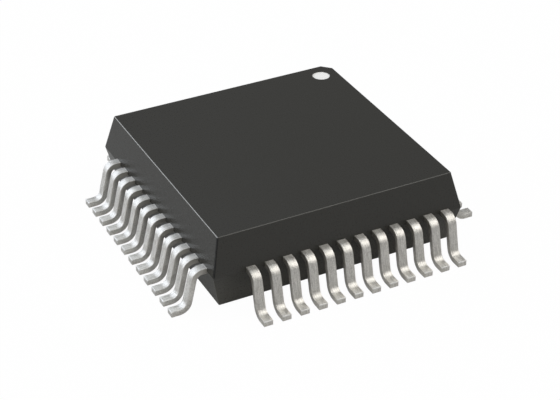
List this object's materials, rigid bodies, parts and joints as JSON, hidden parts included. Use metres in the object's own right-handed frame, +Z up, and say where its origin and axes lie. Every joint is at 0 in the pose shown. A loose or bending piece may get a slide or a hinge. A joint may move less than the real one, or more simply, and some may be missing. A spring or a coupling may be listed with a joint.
{
  "type": "resolver-to-digital converter",
  "caption": "Square moulded chip package with gull-wing leads on four sides, a white dot at the first lead, and a die, pad and bond wires inside.",
  "frame": {"origin": "centre of the seating plane, where the feet of the leads stand, midway between opposite sides of the body", "axes": "+Z up, out of the marked top face; -X towards the side with leads 1 to 12, which starts beside the cut corner at -X, +Y; lead numbers run counter-clockwise seen from above"},
  "size_m": [0.009, 0.009, 0.0021],
  "materials": {
    "mould_compound": "satin charcoal epoxy mould compound",
    "tinned_lead": "matt tin plate on copper alloy strip",
    "leadframe": "bare copper alloy strip",
    "die_adhesive": "silver-filled epoxy",
    "silicon": "polished silicon",
    "gold_wire": "drawn gold",
    "white_ink": "matt white marking ink"
  },
  "bodies": {
    "root": {"mould_body": "mould_compound", "lead_01": "tinned_lead", "lead_02": "tinned_lead", "lead_03": "tinned_lead", "lead_04": "tinned_lead", "lead_05": "tinned_lead", "lead_06": "tinned_lead", "lead_07": "tinned_lead", "lead_08": "tinned_lead", "lead_09": "tinned_lead", "lead_10": "tinned_lead", "lead_11": "tinned_lead", "lead_12": "tinned_lead", "lead_13": "tinned_lead", "lead_14": "tinned_lead", "lead_15": "tinned_lead", "lead_16": "tinned_lead", "lead_17": "tinned_lead", "lead_18": "tinned_lead", "lead_19": "tinned_lead", "lead_20": "tinned_lead", "lead_21": "tinned_lead", "lead_22": "tinned_lead", "lead_23": "tinned_lead", "lead_24": "tinned_lead", "lead_25": "tinned_lead", "lead_26": "tinned_lead", "lead_27": "tinned_lead", "lead_28": "tinned_lead", "lead_29": "tinned_lead", "lead_30": "tinned_lead", "lead_31": "tinned_lead", "lead_32": "tinned_lead", "lead_33": "tinned_lead", "lead_34": "tinned_lead", "lead_35": "tinned_lead", "lead_36": "tinned_lead", "lead_37": "tinned_lead", "lead_38": "tinned_lead", "lead_39": "tinned_lead", "lead_40": "tinned_lead", "lead_41": "tinned_lead", "lead_42": "tinned_lead", "lead_43": "tinned_lead", "lead_44": "tinned_lead", "lead_45": "tinned_lead", "lead_46": "tinned_lead", "lead_47": "tinned_lead", "lead_48": "tinned_lead", "die_pad": "leadframe", "die_attach": "die_adhesive", "die": "silicon", "bond_wires": "gold_wire", "pin_1_mark": "white_ink"}
  },
  "joints": []
}
